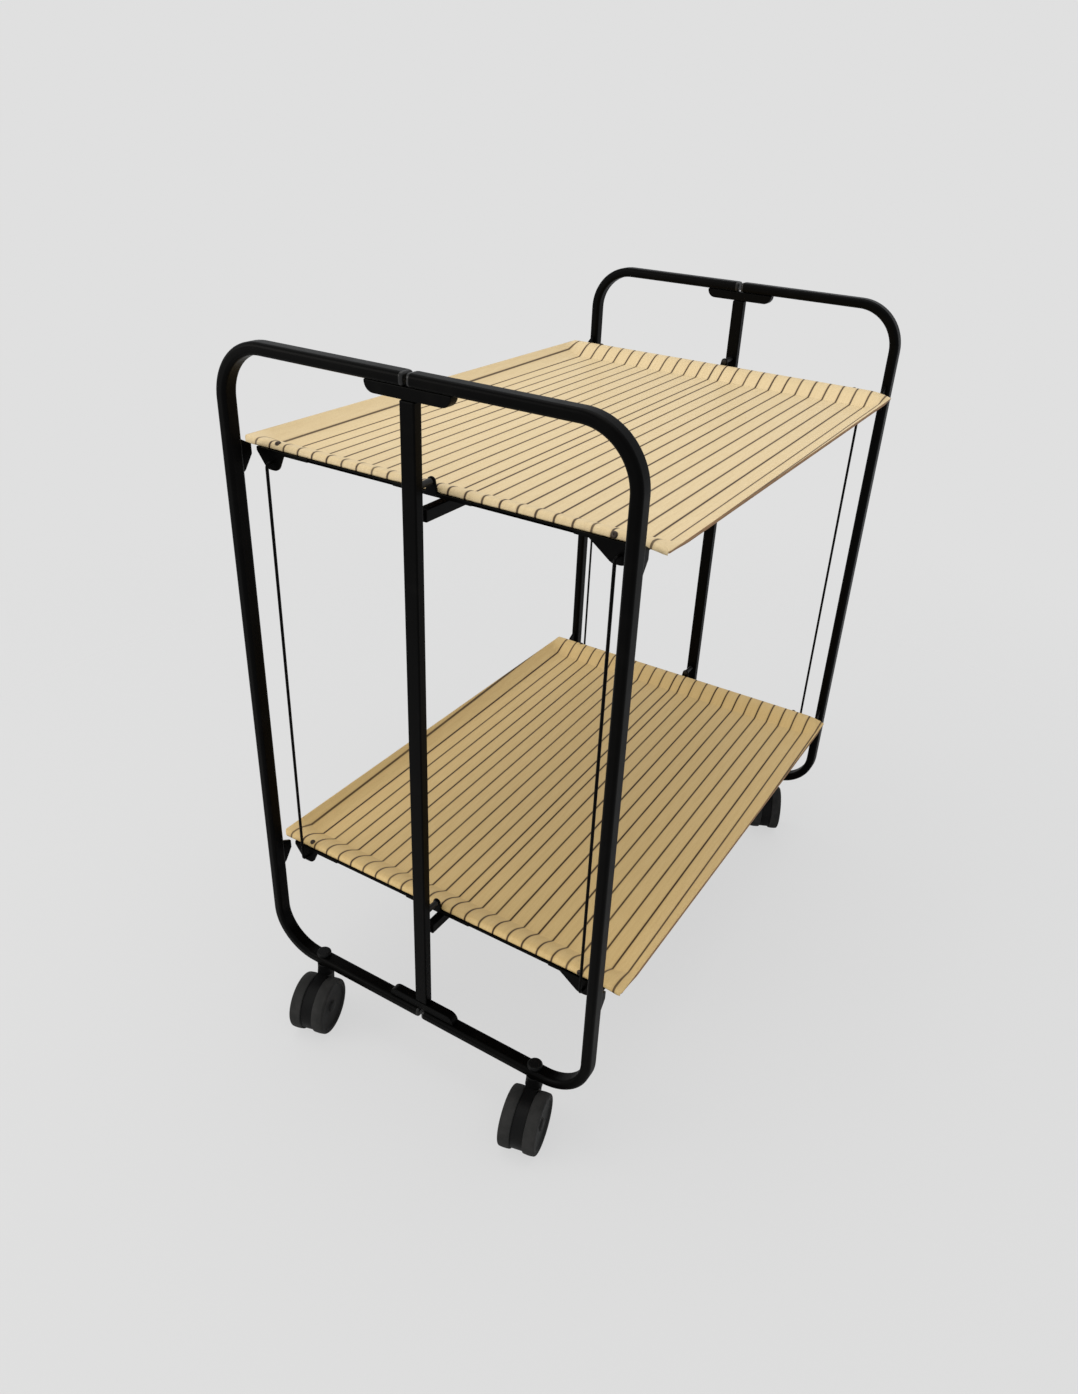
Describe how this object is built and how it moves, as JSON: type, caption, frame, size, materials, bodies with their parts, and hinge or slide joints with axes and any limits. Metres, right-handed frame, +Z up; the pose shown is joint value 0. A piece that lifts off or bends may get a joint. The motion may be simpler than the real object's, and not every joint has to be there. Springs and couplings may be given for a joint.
{
  "type": "folding serving trolley",
  "caption": "Folding serving trolley: two hinged tubular end frames on twin-wheel casters carry an upper and a lower tray that tip together.",
  "frame": {"origin": "on the floor, under the middle of the overall box, casters included", "axes": "+Z up; +X along the trolley from the near end frame to the far end frame; +Y to the left seen from the near end"},
  "size_m": [0.7638, 0.4306, 0.748],
  "materials": {
    "black_steel": "semi-gloss black lacquer on steel tube, bar and wire",
    "bright_steel": "plain turned steel pins and axles",
    "tray_wood": "light wood-look laminate with thin dark stripes along the length, satin",
    "wheel_grey": "charcoal moulded plastic wheel with a slightly lighter worn tread",
    "core_black": "black moulded plastic caster body"
  },
  "bodies": {
    "stand": {"near_post": "black_steel", "near_top_hinge_block": "black_steel", "near_bottom_hinge_block": "black_steel", "near_left_top_hinge_pin": "bright_steel", "near_left_bottom_hinge_pin": "bright_steel", "near_right_top_hinge_pin": "bright_steel", "near_right_bottom_hinge_pin": "bright_steel", "near_upper_pivot_pin": "bright_steel", "near_lower_pivot_pin": "bright_steel", "far_post": "black_steel", "far_top_hinge_block": "black_steel", "far_bottom_hinge_block": "black_steel", "far_left_top_hinge_pin": "bright_steel", "far_left_bottom_hinge_pin": "bright_steel", "far_right_top_hinge_pin": "bright_steel", "far_right_bottom_hinge_pin": "bright_steel", "far_upper_pivot_pin": "bright_steel", "far_lower_pivot_pin": "bright_steel"},
    "upper_tray_assembly": {"upper_tray": "tray_wood", "upper_tray_rail": "black_steel", "upper_near_end_bar": "black_steel", "upper_far_end_bar": "black_steel"},
    "lower_tray_assembly": {"lower_tray": "tray_wood", "lower_tray_rail": "black_steel", "lower_near_end_bar": "black_steel", "lower_far_end_bar": "black_steel"},
    "near_left_frame": {"near_left_half_frame": "black_steel", "near_left_upper_rest": "black_steel", "near_left_lower_rest": "black_steel"},
    "near_left_caster": {"near_left_caster_body": "core_black", "near_left_axle": "bright_steel"},
    "near_left_left_wheel_body": {"near_left_left_wheel": "wheel_grey"},
    "near_left_right_wheel_body": {"near_left_right_wheel": "wheel_grey"},
    "near_left_rod": {"near_left_link_rod": "black_steel"},
    "near_right_frame": {"near_right_half_frame": "black_steel", "near_right_upper_rest": "black_steel", "near_right_lower_rest": "black_steel"},
    "near_right_caster": {"near_right_caster_body": "core_black", "near_right_axle": "bright_steel"},
    "near_right_left_wheel_body": {"near_right_left_wheel": "wheel_grey"},
    "near_right_right_wheel_body": {"near_right_right_wheel": "wheel_grey"},
    "near_right_rod": {"near_right_link_rod": "black_steel"},
    "far_left_frame": {"far_left_half_frame": "black_steel", "far_left_upper_rest": "black_steel", "far_left_lower_rest": "black_steel"},
    "far_left_caster": {"far_left_caster_body": "core_black", "far_left_axle": "bright_steel"},
    "far_left_left_wheel_body": {"far_left_left_wheel": "wheel_grey"},
    "far_left_right_wheel_body": {"far_left_right_wheel": "wheel_grey"},
    "far_left_rod": {"far_left_link_rod": "black_steel"},
    "far_right_frame": {"far_right_half_frame": "black_steel", "far_right_upper_rest": "black_steel", "far_right_lower_rest": "black_steel"},
    "far_right_caster": {"far_right_caster_body": "core_black", "far_right_axle": "bright_steel"},
    "far_right_left_wheel_body": {"far_right_left_wheel": "wheel_grey"},
    "far_right_right_wheel_body": {"far_right_right_wheel": "wheel_grey"},
    "far_right_rod": {"far_right_link_rod": "black_steel"}
  },
  "joints": [
    {"name": "tray_tilt", "type": "hinge", "parent": "stand", "child": "upper_tray_assembly", "pos_m": [0.00017, 0, 0.6566], "axis": [-1, 0, 0], "range_deg": [0, 70]},
    {"name": "lower_tray_tilt", "type": "hinge", "parent": "stand", "child": "lower_tray_assembly", "pos_m": [0.00017, 0, 0.2116], "axis": [-1, 0, 0], "range_deg": [0, 70]},
    {"name": "near_left_frame_hinge", "type": "hinge", "parent": "stand", "child": "near_left_frame", "pos_m": [-0.32483, 0.033, 0.7425], "axis": [0, 0, -1], "range_deg": [0, 1.5]},
    {"name": "near_left_swivel", "type": "hinge", "parent": "near_left_frame", "child": "near_left_caster", "pos_m": [-0.32483, 0.14, 0.0785], "axis": [0, 0, 1], "continuous": true},
    {"name": "near_left_left_wheel_spin", "type": "hinge", "parent": "near_left_caster", "child": "near_left_left_wheel_body", "pos_m": [-0.34699, 0.13381, 0.031], "axis": [-0.2689, 0.9632, 0], "continuous": true},
    {"name": "near_left_right_wheel_spin", "type": "hinge", "parent": "near_left_caster", "child": "near_left_right_wheel_body", "pos_m": [-0.34699, 0.13381, 0.031], "axis": [-0.2689, 0.9632, 0], "continuous": true},
    {"name": "near_left_rod_pivot", "type": "hinge", "parent": "upper_tray_assembly", "child": "near_left_rod", "pos_m": [-0.32483, 0.1755, 0.6372], "axis": [-1, 0, 0], "range_deg": [-70, 0]},
    {"name": "near_right_frame_hinge", "type": "hinge", "parent": "stand", "child": "near_right_frame", "pos_m": [-0.32483, -0.033, 0.7425], "axis": [0, 0, 1], "range_deg": [0, 1.5]},
    {"name": "near_right_swivel", "type": "hinge", "parent": "near_right_frame", "child": "near_right_caster", "pos_m": [-0.32483, -0.14, 0.0785], "axis": [0, 0, 1], "continuous": true},
    {"name": "near_right_left_wheel_spin", "type": "hinge", "parent": "near_right_caster", "child": "near_right_left_wheel_body", "pos_m": [-0.34725, -0.14513, 0.031], "axis": [-0.2233, 0.9748, 0], "continuous": true},
    {"name": "near_right_right_wheel_spin", "type": "hinge", "parent": "near_right_caster", "child": "near_right_right_wheel_body", "pos_m": [-0.34725, -0.14513, 0.031], "axis": [-0.2233, 0.9748, 0], "continuous": true},
    {"name": "near_right_rod_pivot", "type": "hinge", "parent": "upper_tray_assembly", "child": "near_right_rod", "pos_m": [-0.32483, -0.1755, 0.6372], "axis": [-1, 0, 0], "range_deg": [-70, 0]},
    {"name": "far_left_frame_hinge", "type": "hinge", "parent": "stand", "child": "far_left_frame", "pos_m": [0.32517, 0.033, 0.7425], "axis": [0, 0, 1], "range_deg": [0, 1.5]},
    {"name": "far_left_swivel", "type": "hinge", "parent": "far_left_frame", "child": "far_left_caster", "pos_m": [0.32517, 0.14, 0.0785], "axis": [0, 0, 1], "continuous": true},
    {"name": "far_left_left_wheel_spin", "type": "hinge", "parent": "far_left_caster", "child": "far_left_left_wheel_body", "pos_m": [0.34766, 0.13522, 0.031], "axis": [-0.2079, -0.9781, 0], "continuous": true},
    {"name": "far_left_right_wheel_spin", "type": "hinge", "parent": "far_left_caster", "child": "far_left_right_wheel_body", "pos_m": [0.34766, 0.13522, 0.031], "axis": [-0.2079, -0.9781, 0], "continuous": true},
    {"name": "far_left_rod_pivot", "type": "hinge", "parent": "upper_tray_assembly", "child": "far_left_rod", "pos_m": [0.32517, 0.1755, 0.6372], "axis": [-1, 0, 0], "range_deg": [-70, 0]},
    {"name": "far_right_frame_hinge", "type": "hinge", "parent": "stand", "child": "far_right_frame", "pos_m": [0.32517, -0.033, 0.7425], "axis": [0, 0, -1], "range_deg": [0, 1.5]},
    {"name": "far_right_swivel", "type": "hinge", "parent": "far_right_frame", "child": "far_right_caster", "pos_m": [0.32517, -0.14, 0.0785], "axis": [0, 0, 1], "continuous": true},
    {"name": "far_right_left_wheel_spin", "type": "hinge", "parent": "far_right_caster", "child": "far_right_left_wheel_body", "pos_m": [0.30432, -0.14972, 0.031], "axis": [-0.4226, 0.9063, 0], "continuous": true},
    {"name": "far_right_right_wheel_spin", "type": "hinge", "parent": "far_right_caster", "child": "far_right_right_wheel_body", "pos_m": [0.30432, -0.14972, 0.031], "axis": [-0.4226, 0.9063, 0], "continuous": true},
    {"name": "far_right_rod_pivot", "type": "hinge", "parent": "upper_tray_assembly", "child": "far_right_rod", "pos_m": [0.32517, -0.1755, 0.6372], "axis": [-1, 0, 0], "range_deg": [-70, 0]}
  ],
  "couplings": [
    {"joint": "lower_tray_tilt", "follows": "tray_tilt", "ratio": 1},
    {"joint": "near_left_rod_pivot", "follows": "tray_tilt", "ratio": -1},
    {"joint": "near_right_rod_pivot", "follows": "tray_tilt", "ratio": -1},
    {"joint": "far_left_rod_pivot", "follows": "tray_tilt", "ratio": -1},
    {"joint": "far_right_rod_pivot", "follows": "tray_tilt", "ratio": -1}
  ]
}
